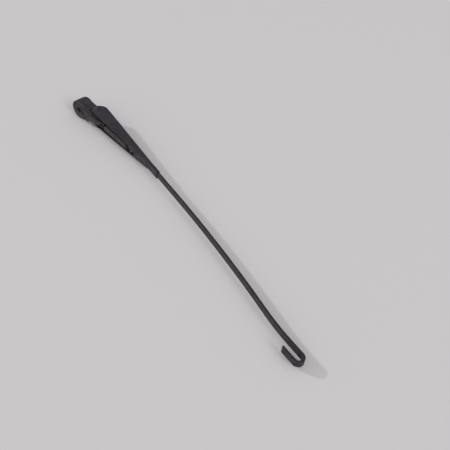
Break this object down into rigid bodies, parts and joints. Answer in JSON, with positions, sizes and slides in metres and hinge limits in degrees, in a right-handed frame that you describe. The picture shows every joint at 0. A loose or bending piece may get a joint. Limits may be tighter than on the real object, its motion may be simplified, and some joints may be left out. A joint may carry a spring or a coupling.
{
  "type": "wiper arm",
  "caption": "Spring-hinged windscreen wiper arm: cast spindle head, folded tapering channel with a tension spring, and a flat rod ending in a blade hook.",
  "frame": {"origin": "on the wiper spindle's axis, at the underside of the boss", "axes": "+X from the spindle along the mounting head towards the hook, +Y along the spindle away from the windscreen, +Z across the arm's width; the arm lies on its side"},
  "size_m": [0.5012, 0.1547, 0.0286],
  "materials": {
    "head_paint": "rough worn black paint on a casting",
    "channel_paint": "worn satin black paint on folded sheet steel",
    "rod_paint": "worn satin black paint on flat steel bar",
    "pin_steel": "dull stained steel",
    "washer_steel": "dull steel",
    "spring_steel": "rusty spring wire"
  },
  "bodies": {
    "head": {"mounting_head": "head_paint", "spring_pin": "pin_steel"},
    "arm": {"arm_channel": "channel_paint", "wiper_rod": "rod_paint", "hinge_pin": "pin_steel", "rod_rivet": "pin_steel", "hinge_washer_upper": "washer_steel", "hinge_washer_lower": "washer_steel", "tension_spring": "spring_steel"}
  },
  "joints": [
    {"name": "arm_lift", "type": "hinge", "parent": "head", "child": "arm", "pos_m": [0.0267, 0.0099, 0], "axis": [0, 0, 1], "range_deg": [0, 55], "stiffness_Nm_per_rad": 0.6, "springref_deg": -22.92, "deforming": ["tension_spring"]}
  ]
}
